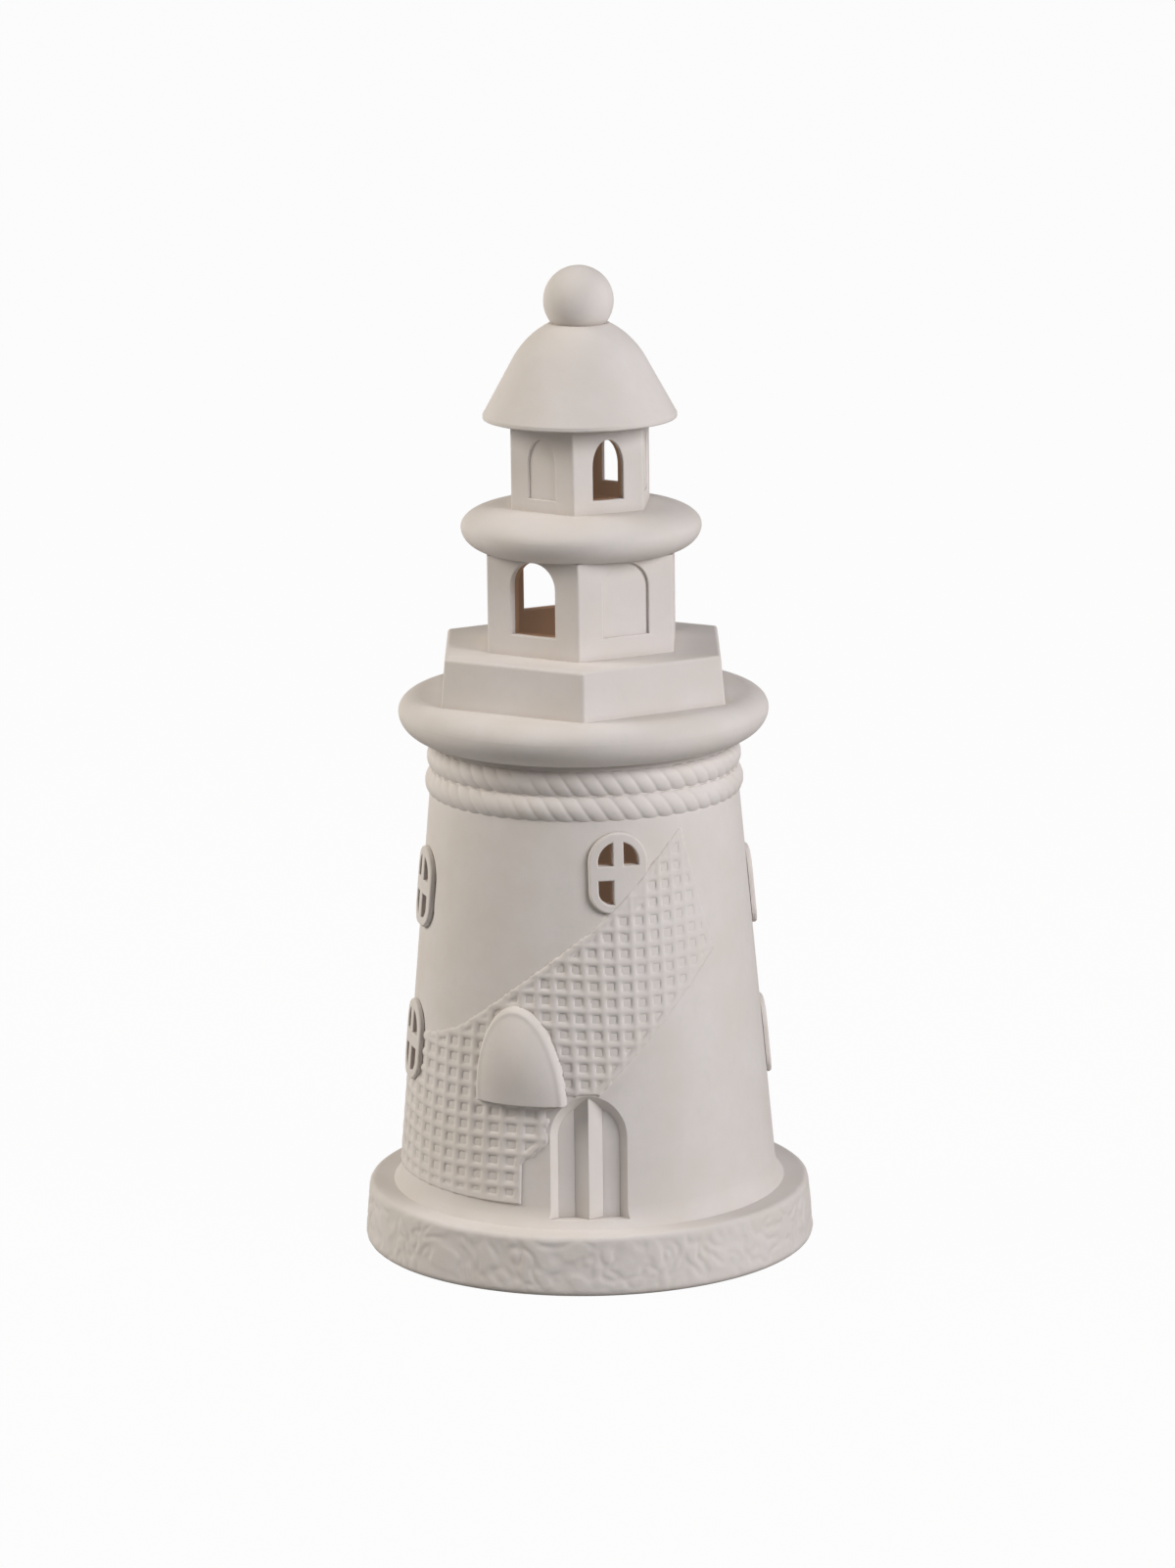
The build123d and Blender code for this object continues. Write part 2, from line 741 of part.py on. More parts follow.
# Bell roof: a straight skirt under a rounded shoulder, hollow inside, with a hole for the finial
with BuildPart() as roof:
    with BuildSketch(Plane.XZ) as roof_section:
        with BuildLine():
            eave_low = (roof_radius, lantern_top)
            eave_high = (roof_radius, lantern_top + roof_eave)
            shoulder = (roof_shoulder_radius, lantern_top + roof_shoulder_height)
            skirt = (shoulder[0] - eave_high[0], shoulder[1] - eave_high[1])
            crown = (roof_crown_radius, roof_top)
            hole = spigot_radius + lute_gap
            mouth = (lantern_radius * hex_flat - lantern_wall, lantern_top)
            Line(mouth, eave_low)
            Line(eave_low, eave_high)
            Line(eave_high, shoulder)
            TangentArc(shoulder, crown, tangent=skirt)
            Line(crown, (hole, roof_top))
            Line((hole, roof_top), (hole, roof_top - roof_wall))
            inner_shoulder = (shoulder[0] - roof_wall, shoulder[1] - roof_wall / 2)
            Line((hole, roof_top - roof_wall), inner_shoulder)
            Line(inner_shoulder, mouth)
        make_face()
        fillet(roof_section.vertices().sort_by(Axis.X)[-2:], roof_eave_round)
    revolve(axis=Axis.Z)
save(roof, "roof")

# Ball finial: cut flat where it sits on the roof, with a spigot that drops into the hole
with BuildPart() as ball_finial:
    with Locations((0, 0, ball_centre)):
        Sphere(ball_radius)
    split(bisect_by=Plane.XY.offset(roof_top), keep=Keep.TOP)
    with BuildSketch(Plane.XY.offset(roof_top - spigot_length)):
        Circle(spigot_radius)
    extrude(amount=spigot_length + ball_seat)
save(ball_finial, "ball_finial")
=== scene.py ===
# %% [markdown]
# # A bisque lighthouse lantern
# The object is a small lighthouse of unglazed, cast white clay: a tapered tower that lifts off a round
# plinth, with a tealight inside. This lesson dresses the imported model. Plain turned and cut pieces keep
# their CAD shape and only get a finish. Pieces whose charm is in the casting, such as twisted rope,
# a draped net and a tooled plinth, are modelled again as meshes in the same place.

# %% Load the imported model
import json
import math

import bpy
import numpy as np
from mathutils import Matrix, Vector, noise


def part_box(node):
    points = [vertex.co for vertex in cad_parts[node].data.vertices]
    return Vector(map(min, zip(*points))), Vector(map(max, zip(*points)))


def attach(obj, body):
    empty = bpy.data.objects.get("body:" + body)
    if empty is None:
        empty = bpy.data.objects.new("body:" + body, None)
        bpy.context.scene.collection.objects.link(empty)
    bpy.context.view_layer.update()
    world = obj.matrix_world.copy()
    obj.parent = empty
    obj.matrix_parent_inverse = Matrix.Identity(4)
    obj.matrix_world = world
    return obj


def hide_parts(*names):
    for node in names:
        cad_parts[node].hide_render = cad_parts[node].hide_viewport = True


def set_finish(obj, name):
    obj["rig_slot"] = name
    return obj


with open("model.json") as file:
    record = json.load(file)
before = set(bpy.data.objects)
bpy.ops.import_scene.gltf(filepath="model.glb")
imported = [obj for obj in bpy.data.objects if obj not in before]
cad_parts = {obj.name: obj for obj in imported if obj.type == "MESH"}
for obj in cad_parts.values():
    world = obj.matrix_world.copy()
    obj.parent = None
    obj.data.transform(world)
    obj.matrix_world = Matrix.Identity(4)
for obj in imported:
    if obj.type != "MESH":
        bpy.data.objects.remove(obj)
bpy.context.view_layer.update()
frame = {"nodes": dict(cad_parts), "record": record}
MM = 0.001

# %% [markdown]
# ## The wall that everything hangs on
# Rope, net and hood all lie on the tower, which is a cone. A cone could be measured from the mesh, but
# its two rope mouldings already say enough: they stand equally proud of the wall at two heights, so the
# difference of their radii is the taper. An azimuth is counted from the front, -Y, towards +X.

# %% Cone of the tower wall
ROPE_PROUD = 1.3 * MM

tower_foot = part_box("tower_wall")[0].z
tower_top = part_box("tower_wall")[1].z


def ring_of(node):
    """Outer radius and middle height of a ring-shaped node."""
    low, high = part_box(node)
    return high.x, (low.z + high.z) / 2


upper_rope = ring_of("rope_upper")
lower_rope = ring_of("rope_lower")
taper = (lower_rope[0] - upper_rope[0]) / (upper_rope[1] - lower_rope[1])


def wall_radius(height):
    """Radius of the plain wall at a height, a number or an array."""
    return upper_rope[0] - ROPE_PROUD + taper * (upper_rope[1] - height)


def on_wall(azimuth, height, proud):
    """Coordinates of points that stand proud of the wall, from arrays of azimuths and heights."""
    radius = wall_radius(height) + proud
    return np.stack([radius * np.sin(azimuth), -radius * np.cos(azimuth), height], axis=-1)


print("wall radius at foot and top in mm:", wall_radius(tower_foot) / MM, wall_radius(tower_top) / MM)

# %% [markdown]
# ## Two ways to make a piece
# A piece that runs all the way round, like a rope ring or the plinth, is turned: a section is spun
# about the axis, and each point may be pushed in a little to carve it. A screw modifier can spin too,
# but then the carving could not follow the turn. A piece that lies on one side of the tower is a relief:
# a fine grid on the wall with a height at each point, backed and closed so that it is a solid of its own.

# %% Put a mesh in the scene


def new_piece(name, points, faces, body, slot, replaced):
    """Make a smooth-shaded mesh that rides on a body and stands for CAD nodes."""
    mesh = bpy.data.meshes.new(name)
    mesh.from_pydata(points, [], faces)
    mesh.validate()
    mesh.polygons.foreach_set("use_smooth", [True] * len(mesh.polygons))
    piece = bpy.data.objects.new(name, mesh)
    bpy.context.scene.collection.objects.link(piece)
    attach(piece, body)
    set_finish(piece, slot)
    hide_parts(*replaced)
    print(name, "has", len(mesh.polygons), "faces")
    return piece


# %% Turn a section about the axis


def turned(section, steps, carve):
    """Points and faces of a section spun about Z, each point moved by carve(azimuth, place).

    The section is a list of (radius, height). It starts and ends on the axis, or else it is closed.
    carve gets the azimuths of a turn and the place in the section, and returns how far the points
    of that turn move along the radius and along Z.
    """
    azimuth = np.arange(steps) * 2 * math.pi / steps
    points = []
    rings = []
    for place, (radius, height) in enumerate(section):
        if radius == 0:
            rings.append([len(points)] * steps)
            points.append((0, 0, height))
            continue
        out, up = carve(azimuth, place)
        spun = radius + out + 0 * azimuth
        rings.append(list(range(len(points), len(points) + steps)))
        heights = height + up + 0 * azimuth
        points += list(zip(spun * np.sin(azimuth), -spun * np.cos(azimuth), heights))
    closed = section[0][0] > 0
    pairs = list(zip(rings, rings[1:]))
    if closed:
        pairs.append((rings[-1], rings[0]))
    faces = []
    for low, high in pairs:
        for step in range(steps):
            ahead = (step + 1) % steps
            corners = [low[step], low[ahead], high[ahead], high[step]]
            faces.append(list(dict.fromkeys(corners)))
    return points, faces


def uncarved(azimuth, place):
    """A carving that leaves every point where it is."""
    return 0.0, 0.0


# %% Raise a relief on the wall
HIDDEN = -0.5 * MM
BACK = -0.9 * MM


def one_piece(kept):
    """Fill grid cells that would leave two others joined at a corner only."""
    while True:
        a, b, c, d = kept[:-1, :-1], kept[:-1, 1:], kept[1:, :-1], kept[1:, 1:]
        falling = a & d & ~b & ~c
        rising = b & c & ~a & ~d
        if not falling.any() and not rising.any():
            return kept
        kept[:-1, 1:] |= falling
        kept[:-1, :-1] |= rising


def relief(azimuth, height, proud):
    """Points and faces of a closed skin whose front stands proud of the wall, from three grids.

    Cells whose corners are all hidden under the wall are left out, and BACK is where the skin ends
    inside the wall.
    """
    shown = proud > HIDDEN
    kept = one_piece(shown[:-1, :-1] | shown[:-1, 1:] | shown[1:, :-1] | shown[1:, 1:])
    used = np.zeros(proud.shape, bool)
    for row in (slice(0, -1), slice(1, None)):
        for column in (slice(0, -1), slice(1, None)):
            used[row, column] |= kept
    number = np.full(proud.shape, -1)
    number[used] = np.arange(used.sum())
    front = on_wall(azimuth[used], height[used], proud[used])
    back = on_wall(azimuth[used], height[used], np.full(used.sum(), BACK))
    points = np.concatenate([front, back]).tolist()
    behind = int(used.sum())
    framed = np.pad(kept, 1)
    faces = []
    for row, column in np.argwhere(kept).tolist():
        a, b = int(number[row, column]), int(number[row, column + 1])
        c, d = int(number[row + 1, column + 1]), int(number[row + 1, column])
        faces.append((a, b, c, d))
        faces.append((d + behind, c + behind, b + behind, a + behind))
        beside = (
            (framed[row, column + 1], a, b),
            (framed[row + 1, column + 2], b, c),
            (framed[row + 2, column + 1], c, d),
            (framed[row + 1, column], d, a),
        )
        for neighbour, start, end in beside:
            if not neighbour:
                faces.append((end, start, start + behind, end + behind))
    return points, faces


def wall_grid(left, right, low, high, step):
    """Azimuths and heights of a fine grid on the wall, between azimuths in degrees."""
    width = math.radians(right - left) * wall_radius((low + high) / 2)
    azimuths = np.radians(np.linspace(left, right, int(width / step) + 1))
    heights = np.linspace(low, high, int((high - low) / step) + 1)
    return np.meshgrid(azimuths, heights)


def soft_cord(distance, half_width):
    """Height of a worn cord, round on top, that runs out softly at its edges and is hidden beyond."""
    inside = np.clip(1 - (distance / half_width) ** 2, 0, None)
    return np.where(inside > 0, half_width * inside**1.5, HIDDEN)


# %% [markdown]
# ## Twisted rope mouldings
# On the real piece two rings of twisted rope run round the tower, close under the gallery. Strands could
# be helices swept along a ring, but cast clay keeps only their outer face. So each rope is a turned
# ring, and its surface sinks between the strands, which slant across it as it goes round.

# %% Rope rings
ROPE_RADIUS = 4.2 * MM
STRAND_SPACING = 4.4 * MM
STRAND_DEPTH = 0.3 * MM
STRAND_LEAN = 4.0  # strands that a full turn of the section would cross
ROPE_FACE = 52  # degrees of the section's arc, either side of straight out
ROPE_FACE_STEPS = 30
POINTS_PER_STRAND = 14
STRAND_FLATNESS = 0.85


def rope_ring(name, node):
    """A twisted ring in place of a plain rope node."""
    outer, middle = ring_of(node)
    centre = outer - ROPE_RADIUS
    strands_round = round(2 * math.pi * outer / STRAND_SPACING)
    angles = np.radians(np.linspace(-ROPE_FACE, ROPE_FACE, ROPE_FACE_STEPS + 1))
    section = [
        (centre + ROPE_RADIUS * math.cos(angle), middle + ROPE_RADIUS * math.sin(angle))
        for angle in angles
    ]

    def twist(azimuth, place):
        turn = azimuth * strands_round + angles[place] * STRAND_LEAN
        across = 2 * np.mod(turn / (2 * math.pi), 1) - 1
        lobe = np.sqrt(1 - STRAND_FLATNESS * across**2)
        lowest = math.sqrt(1 - STRAND_FLATNESS)
        sunk = STRAND_DEPTH * (lobe - 1) / (1 - lowest)
        return sunk * math.cos(angles[place]), sunk * math.sin(angles[place])

    points, faces = turned(section, strands_round * POINTS_PER_STRAND, twist)
    return new_piece(name, points, faces, "tower", "bisque", [node])


rope_pieces = [rope_ring("rope_twist_upper", "rope_upper"), rope_ring("rope_twist_lower", "rope_lower")]

# %% [markdown]
# ## The plinth
# The base is a thick disc with soft edges. Its side is roughly tooled, as if the mould had been scraped
# like rock, while its top is smooth. Displacement in the material would carve it too, but then only the
# picture would have it. Here the section has many points up the side, and noise sinks each of them.

# %% Section of the plinth with rounded corners
BASE_TOP_RADIUS = 56.2 * MM
BASE_SIDE_SLOPE = 1.4 * MM
BASE_TOP_ROUND = 1.8 * MM
BASE_BOTTOM_ROUND = 2.2 * MM
RING_WIDTH = 3.0 * MM
RING_ROUND = 0.5 * MM
RING_PLAY = 0.4 * MM
TOWER_THICKNESS = 5.0 * MM
SEAT_DEPTH = 2.5 * MM
SECTION_STEP = 0.5 * MM
ROUND_STEPS = 6

ring_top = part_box("base_plinth")[1].z
ring_radius = wall_radius(ring_top) - TOWER_THICKNESS - RING_PLAY
seat_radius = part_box("tealight_cup")[1].x + RING_PLAY


def rounded_section(corners):
    """Section points along straight runs and rounded corners, from (radius, height, round)."""
    path = [Vector(corner[:2]) for corner in corners]
    points = [path[0]]
    for before, corner, after, (_, _, size) in zip(path, path[1:], path[2:], corners[1:]):
        inward = (before - corner).normalized()
        outward = (after - corner).normalized()
        cut = size / math.tan(inward.angle(outward) / 2) if size else 0
        start = corner + inward * cut
        end = corner + outward * cut
        points.append(start)
        for step in range(1, ROUND_STEPS + 1 if size else 1):
            part = step / ROUND_STEPS
            points.append(start * (1 - part) ** 2 + corner * 2 * part * (1 - part) + end * part**2)
    points.append(path[-1])
    section = [points[0]]
    for point in points[1:]:
        run = point - section[-1]
        pieces = max(1, math.ceil(run.length / SECTION_STEP))
        first = section[-1]
        section += [first + run * (count / pieces) for count in range(1, pieces + 1)]
    return [(point.x, point.y) for point in section]


plinth_section = rounded_section(
    [
        (0, 0, 0),
        (BASE_TOP_RADIUS + BASE_SIDE_SLOPE, 0, BASE_BOTTOM_ROUND),
        (BASE_TOP_RADIUS, tower_foot, BASE_TOP_ROUND),
        (ring_radius, tower_foot, 0),
        (ring_radius, ring_top, RING_ROUND),
        (ring_radius - RING_WIDTH, ring_top, RING_ROUND),
        (ring_radius - RING_WIDTH, tower_foot, 0),
        (seat_radius, tower_foot, RING_ROUND),
        (seat_radius, tower_foot - SEAT_DEPTH, 0),
        (0, tower_foot - SEAT_DEPTH, 0),
    ]
)
print("plinth section:", len(plinth_section), "points")

# %% Tooled side of the plinth
PLINTH_STEPS = 720
TOOL_DEPTH = 0.32 * MM
GOUGE_SIZE = 3.8 * MM
GOUGE_WIDTH = 0.45
SWIRL_SIZE = 14.0 * MM
SWIRL = 1.2
TOOL_SEED = 7

noise.seed_set(TOOL_SEED)  # without a seed, noise vectors change with the clock


def tooled(azimuth, place):
    """Sink the plinth's side by swirling gouges, fading out at its rounded edges."""
    radius, height = plinth_section[place]
    if radius < BASE_TOP_RADIUS - BASE_TOP_ROUND or not 0 < height < tower_foot:
        return 0.0, 0.0
    fade = min(1, height / (2 * BASE_BOTTOM_ROUND), (tower_foot - height) / (2 * BASE_TOP_ROUND))
    sunk = []
    for angle in azimuth.tolist():
        spot = Vector((radius * math.sin(angle), -radius * math.cos(angle), height))
        swirl = noise.noise_vector(spot / SWIRL_SIZE) * SWIRL
        sunk.append(noise.noise(spot / GOUGE_SIZE + swirl))
    gouge = np.clip(1 - np.abs(sunk) / GOUGE_WIDTH, 0, 1)
    return -TOOL_DEPTH * fade * gouge**2 * (3 - 2 * gouge), 0.0


points, faces = turned(plinth_section, PLINTH_STEPS, tooled)
plinth_piece = new_piece("plinth_tooled", points, faces, "base", "bisque", ["base_plinth"])

# %% [markdown]
# ## The hood beside the door
# Left of the door a domed half-oval swells from the wall, with a raised rim round its arch and a lower
# edge that throws a dark shadow. A sculpted subdivision cage would do. A relief is simpler to steer:
# its height is a rounded edge with a faint rim, and on that a dome that bulges most below the middle
# and draws in towards the sill, so that its lower part turns to the ground.

# %% Domed hood
HOOD_AZIMUTH = -21.9
HOOD_HALF_WIDTH = 12.0 * MM
HOOD_LEAN = 3.3  # degrees, the top of the arch leans to the left
HOOD_EDGE = 1.4 * MM
HOOD_EDGE_WIDTH = 1.3 * MM
HOOD_RIM = 0.25 * MM
HOOD_RIM_WIDTH = 0.6 * MM
HOOD_DOME = 3.1 * MM
HOOD_BULGE = 0.45  # height of the fullest part, as a share of the hood
HOOD_LIP = 0.5  # how much of the bulge is left at the lower edge
HOOD_STEP = 0.3 * MM
MARGIN = 2.0 * MM
NEAR_ZERO = 1e-6  # keeps a division defined at the hood's middle
NARROWEST = 0.01  # keeps a division defined at the hood's top

hood_low, hood_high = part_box("arched_hood")
hood_sill = hood_low.z
hood_height = hood_high.z - hood_low.z


def hood_place(azimuth, height):
    """Distance along the wall from the hood's middle, height over its sill, and how oval-far out."""
    along = wall_radius(height) * np.sin(azimuth - math.radians(HOOD_AZIMUTH))
    above = height - hood_sill
    along = along + above * math.tan(math.radians(HOOD_LEAN))
    out = np.hypot(along / HOOD_HALF_WIDTH, above / hood_height)
    return along, above, out


def hood_relief(azimuth, height):
    """Height of the hood over the wall, hidden outside its outline."""
    along, above, out = hood_place(azimuth, height)
    narrowness = np.hypot(along / HOOD_HALF_WIDTH**2, above / hood_height**2)
    inset = (1 - out) * out / np.maximum(narrowness, NEAR_ZERO)
    edge = HOOD_EDGE * np.sqrt(1 - (1 - np.clip(inset / HOOD_EDGE_WIDTH, 0, 1)) ** 2)
    rim = HOOD_RIM * np.exp(-(((inset - HOOD_EDGE_WIDTH) / HOOD_RIM_WIDTH) ** 2))
    part = np.clip(above / hood_height, 0, 1)
    rising = np.sin(np.clip(part / HOOD_BULGE, 0, 1) * math.pi / 2)
    below = HOOD_LIP + (1 - HOOD_LIP) * rising
    fullness = np.cos(np.clip((part - HOOD_BULGE) / (1 - HOOD_BULGE), 0, 1) * math.pi / 2)
    bulge = np.where(part < HOOD_BULGE, below, fullness)
    across = np.clip(along / HOOD_HALF_WIDTH / np.sqrt(np.clip(1 - part**2, NARROWEST, 1)), -1, 1)
    dome = HOOD_DOME * bulge * (1 - across**2)
    return np.where((out < 1) & (above > 0), edge + rim + dome, HIDDEN)


hood_span = math.degrees((HOOD_HALF_WIDTH + MARGIN) / wall_radius(hood_sill))
azimuth, height = wall_grid(
    HOOD_AZIMUTH - hood_span, HOOD_AZIMUTH + hood_span, hood_sill - MARGIN, hood_high.z + MARGIN, HOOD_STEP
)
points, faces = relief(azimuth, height, hood_relief(azimuth, height))
hood_piece = new_piece("hood_domed", points, faces, "tower", "bisque", ["arched_hood"])

# %% [markdown]
# ## The fishing net
# A knotted net hangs down the wall from the front window, round the hood and the door, and on to the
# left. Cords could be curves with a bevel, hundreds of them, all to be trimmed. As a relief the net is
# one expression: the distance to the nearest upright or level cord gives a worn cord's height, knots
# swell where they cross, and one more cord follows the net's edges. Its meshes stay open to the wall,
# apart from those over the front window, which a thin skin closes.

# %% Edges of the net
# Each slanting edge is given as an azimuth, its height there and its slope
NET_HEAD = (-18.0, tower_top - 52.6 * MM, 0.77)
NET_TAIL = (15.0, tower_top - 32.2 * MM, 1.0)
NET_END = (43.0, tower_top - 33.7 * MM, -3.9)
NET_FOOT = (13.0, tower_foot + 40.4 * MM, 1.0)
NET_CORNER = -21.0  # azimuth left of which the net hangs down to the tower's foot
NET_LEFT = -108.0
NET_RIGHT = 54.0
NET_STEP = 0.42 * MM
WINDOW_HALF_WIDTH = 7.4 * MM
WINDOW_HALF_HEIGHT = 10.1 * MM
WINDOW_CORNER = 6.4 * MM
DOOR_HALF_WIDTH = 10.2 * MM
DOOR_CROWN = 1.0 * MM  # how far the mouth's round head rises over the door's post

door_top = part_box("door_centre_post")[1].z
net_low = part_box("fishing_net")[0].z
net_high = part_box("rope_lower")[0].z


def slant_distance(azimuth, height, edge):
    """Distance on the wall up to a slanting edge, given as its azimuth, height and slope."""
    edge_azimuth, edge_height, slope = edge
    turn = azimuth - math.radians(edge_azimuth)
    rise = edge_height + slope * wall_radius(edge_height) * np.sin(turn) - height
    return rise / np.hypot(1, slope * np.cos(turn))


def round_corner_distance(along, above, half_width, half_height, corner):
    """Distance out of a rectangle with round corners, about its middle."""
    x = np.abs(along) - half_width + corner
    y = np.abs(above) - half_height + corner
    return np.hypot(np.maximum(x, 0), np.maximum(y, 0)) + np.minimum(np.maximum(x, y), 0) - corner


def out_of_window(azimuth, height, node):
    """Distance along the wall out of a window's surround."""
    low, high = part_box(node)
    middle = (low + high) / 2
    window_azimuth = math.atan2(middle.x, -middle.y)
    along = wall_radius(height) * (azimuth - window_azimuth)
    above = height - middle.z
    return round_corner_distance(along, above, WINDOW_HALF_WIDTH, WINDOW_HALF_HEIGHT, WINDOW_CORNER)


def out_of_door(azimuth, height):
    """Distance along the wall out of the door's round-headed mouth."""
    along = wall_radius(height) * np.sin(azimuth)
    spring = door_top + DOOR_CROWN - DOOR_HALF_WIDTH
    return np.hypot(along, np.maximum(height - spring, 0)) - DOOR_HALF_WIDTH


# %% Cords, knots and edges of the net
MESH_PITCH = 4.1 * MM
MESH_PULL = 0.06  # how much wider the meshes are, per radian to the left
CORD_HALF_WIDTH = 1.2 * MM
CORD_RISE = 0.32  # height of a cord, as a share of its half width
EDGE_HALF_WIDTH = 1.1 * MM
KNOT_RISE = 0.3 * MM
KNOT_SIZE = 1.1 * MM
LEAN = 0.07  # how far upright cords lean beside the hood, per height
LEAN_AZIMUTH = -4.0
LEAN_SPREAD = 15.0
SAG = 0.5 * MM
SAG_TURNS = 5
WORN_FROM = 12.0  # azimuths between which the cords wear away
WORN_TO = 42.0
WORN_SHARE = 0.7  # how much lower the cords are at WORN_TO
WINDOW_SKIN = 0.25 * MM
HOOD_COVER = 0.97  # share of the hood's outline in which the net is left out


def nearest_line(place):
    """Distance to the nearest of evenly spaced lines."""
    return np.abs(place - np.round(place)) * MESH_PITCH


def net_relief(azimuth, height):
    """Height of the net over the wall, hidden in its meshes and outside its edges."""
    radius = wall_radius((net_low + net_high) / 2)
    near_hood = np.exp(-(((azimuth - math.radians(LEAN_AZIMUTH)) / math.radians(LEAN_SPREAD)) ** 2))
    lean = LEAN * (np.maximum(height, hood_sill) - hood_high.z) * near_hood
    sag = SAG * np.sin(SAG_TURNS * azimuth)
    pulled = azimuth * radius * (1 + MESH_PULL * azimuth)
    columns = nearest_line((pulled + lean) / MESH_PITCH)
    rows = nearest_line((height + sag) / MESH_PITCH)
    cords = np.maximum(soft_cord(columns, CORD_HALF_WIDTH), soft_cord(rows, CORD_HALF_WIDTH))
    knots = KNOT_RISE * np.exp(-(columns**2 + rows**2) / KNOT_SIZE**2)
    inside = np.maximum(slant_distance(azimuth, height, NET_HEAD), slant_distance(azimuth, height, NET_TAIL))
    inside = np.minimum(inside, slant_distance(azimuth, height, NET_END))
    left_of_corner = wall_radius(height) * (math.radians(NET_CORNER) - azimuth)
    over_foot = -slant_distance(azimuth, height, NET_FOOT)
    inside = np.minimum(inside, np.maximum(over_foot, left_of_corner))
    right_of_start = wall_radius(height) * (azimuth - math.radians(NET_LEFT))
    inside = np.minimum(inside, np.minimum(right_of_start, height - net_low))
    net = np.maximum(cords + knots, soft_cord(inside - EDGE_HALF_WIDTH, EDGE_HALF_WIDTH))
    worn = np.clip((np.degrees(azimuth) - WORN_FROM) / (WORN_TO - WORN_FROM), 0, 1) * WORN_SHARE
    net = np.where(net > 0, net * CORD_RISE * (1 - worn), HIDDEN)
    mesh_floor = np.where(out_of_window(azimuth, height, "window_front") < 0, WINDOW_SKIN, HIDDEN)
    net = np.maximum(net, mesh_floor)
    clear = np.minimum(inside, out_of_door(azimuth, height))
    for node in ("window_left_lower", "window_left_upper"):
        clear = np.minimum(clear, out_of_window(azimuth, height, node))
    _, above, out = hood_place(azimuth, height)
    under_hood = (above > 0) & (out < HOOD_COVER)
    return np.where((clear > 0) & ~under_hood, net, HIDDEN)


azimuth, height = wall_grid(NET_LEFT, NET_RIGHT, net_low - MM, net_high, NET_STEP)
points, faces = relief(azimuth, height, net_relief(azimuth, height))
net_piece = new_piece("net_knotted", points, faces, "tower", "bisque", ["fishing_net"])

# %% [markdown]
# ## The tealight
# Under the tower stands an ordinary tealight: a pressed cup of thin aluminium with a fluted wall and
# a rolled rim, wax that climbs a little up the cup, and a braided wick. It shows when the tower is
# lifted. All three are turned, the flutes and the braid by carving the turn.

# %% Fluted cup
CUP_WALL = 0.35 * MM
CUP_RIM = 0.5 * MM
CUP_FOOT = 1.0 * MM  # height of the sloping edge under the flutes
CUP_FOOT_INSET = 1.5 * MM
WALL_LEVELS = 12
RIM_ROLL = (-60, 200)  # degrees of the rim's section, from outside over the top
RIM_STEPS = 14
FLUTES = 48
STEPS_PER_FLUTE = 6
FLUTE_DEPTH = 0.3 * MM

cup_low, cup_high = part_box("tealight_cup")
rim_low = cup_high.z - 2 * CUP_RIM
inner_wall = cup_high.x - CUP_RIM - CUP_WALL

wall_heights = np.linspace(cup_low.z + 1.5 * CUP_FOOT, rim_low, WALL_LEVELS).tolist()
cup_section = [(0, cup_low.z), (cup_high.x - CUP_FOOT_INSET, cup_low.z)]
cup_section.append((cup_high.x - CUP_RIM, cup_low.z + CUP_FOOT))
cup_section += [(cup_high.x - CUP_RIM, level) for level in wall_heights]
for angle in np.radians(np.linspace(*RIM_ROLL, RIM_STEPS)).tolist():
    rim_point = (math.cos(angle) - 1, math.sin(angle) - 1)
    cup_section.append((cup_high.x + CUP_RIM * rim_point[0], cup_high.z + CUP_RIM * rim_point[1]))
cup_section += [(inner_wall - CUP_RIM, level) for level in reversed(wall_heights)]
cup_section += [(inner_wall - 2 * CUP_RIM, cup_low.z + CUP_WALL), (0, cup_low.z + CUP_WALL)]


def fluted(azimuth, place):
    """Press upright flutes into the cup's wall, below the rim."""
    radius, height = cup_section[place]
    if radius < inner_wall - 1.5 * CUP_RIM or not cup_low.z + CUP_FOOT < height < rim_low - CUP_FOOT:
        return 0.0, 0.0
    return FLUTE_DEPTH * (np.cos(FLUTES * azimuth) - 1) / 2, 0.0


points, faces = turned(cup_section, FLUTES * STEPS_PER_FLUTE, fluted)
cup_piece = new_piece("cup_fluted", points, faces, "tealight", "cup_aluminium", ["tealight_cup"])

# %% Poured wax
WAX_PLAY = 0.1 * MM
WAX_RINGS = 40
WAX_STEPS = 96
MENISCUS = 0.8 * MM
MENISCUS_WIDTH = 3.5 * MM
MENISCUS_FALL = 3  # how steeply the wax falls away from the cup
WICK_MOUND = 0.5 * MM

wax_low, wax_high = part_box("tealight_wax")
wax_radius = inner_wall - 2 * CUP_RIM - WAX_PLAY
wax_section = [(0, wax_low.z), (wax_radius, wax_low.z)]
for radius in np.linspace(wax_radius, 0, WAX_RINGS).tolist():
    climb = MENISCUS * math.exp(-(wax_radius - radius) / MENISCUS_WIDTH * MENISCUS_FALL)
    mound = WICK_MOUND * math.exp(-((radius / MENISCUS_WIDTH) ** 2))
    wax_section.append((radius, wax_high.z - MENISCUS + climb + mound))
points, faces = turned(wax_section, WAX_STEPS, uncarved)
wax_piece = new_piece("wax_poured", points, faces, "tealight", "wax", ["tealight_wax"])

# %% Braided wick
WICK_LEVELS = 60
WICK_STEPS = 36
WICK_TIP = 0.4 * MM
WICK_TIP_EDGE = 0.1 * MM
WICK_TIP_SHARE = 0.8  # radius of the tip, as a share of the wick's
WICK_LOBES = 3
WICK_TWIST = 2.4 * MM
WICK_BRAID = 0.18 * MM

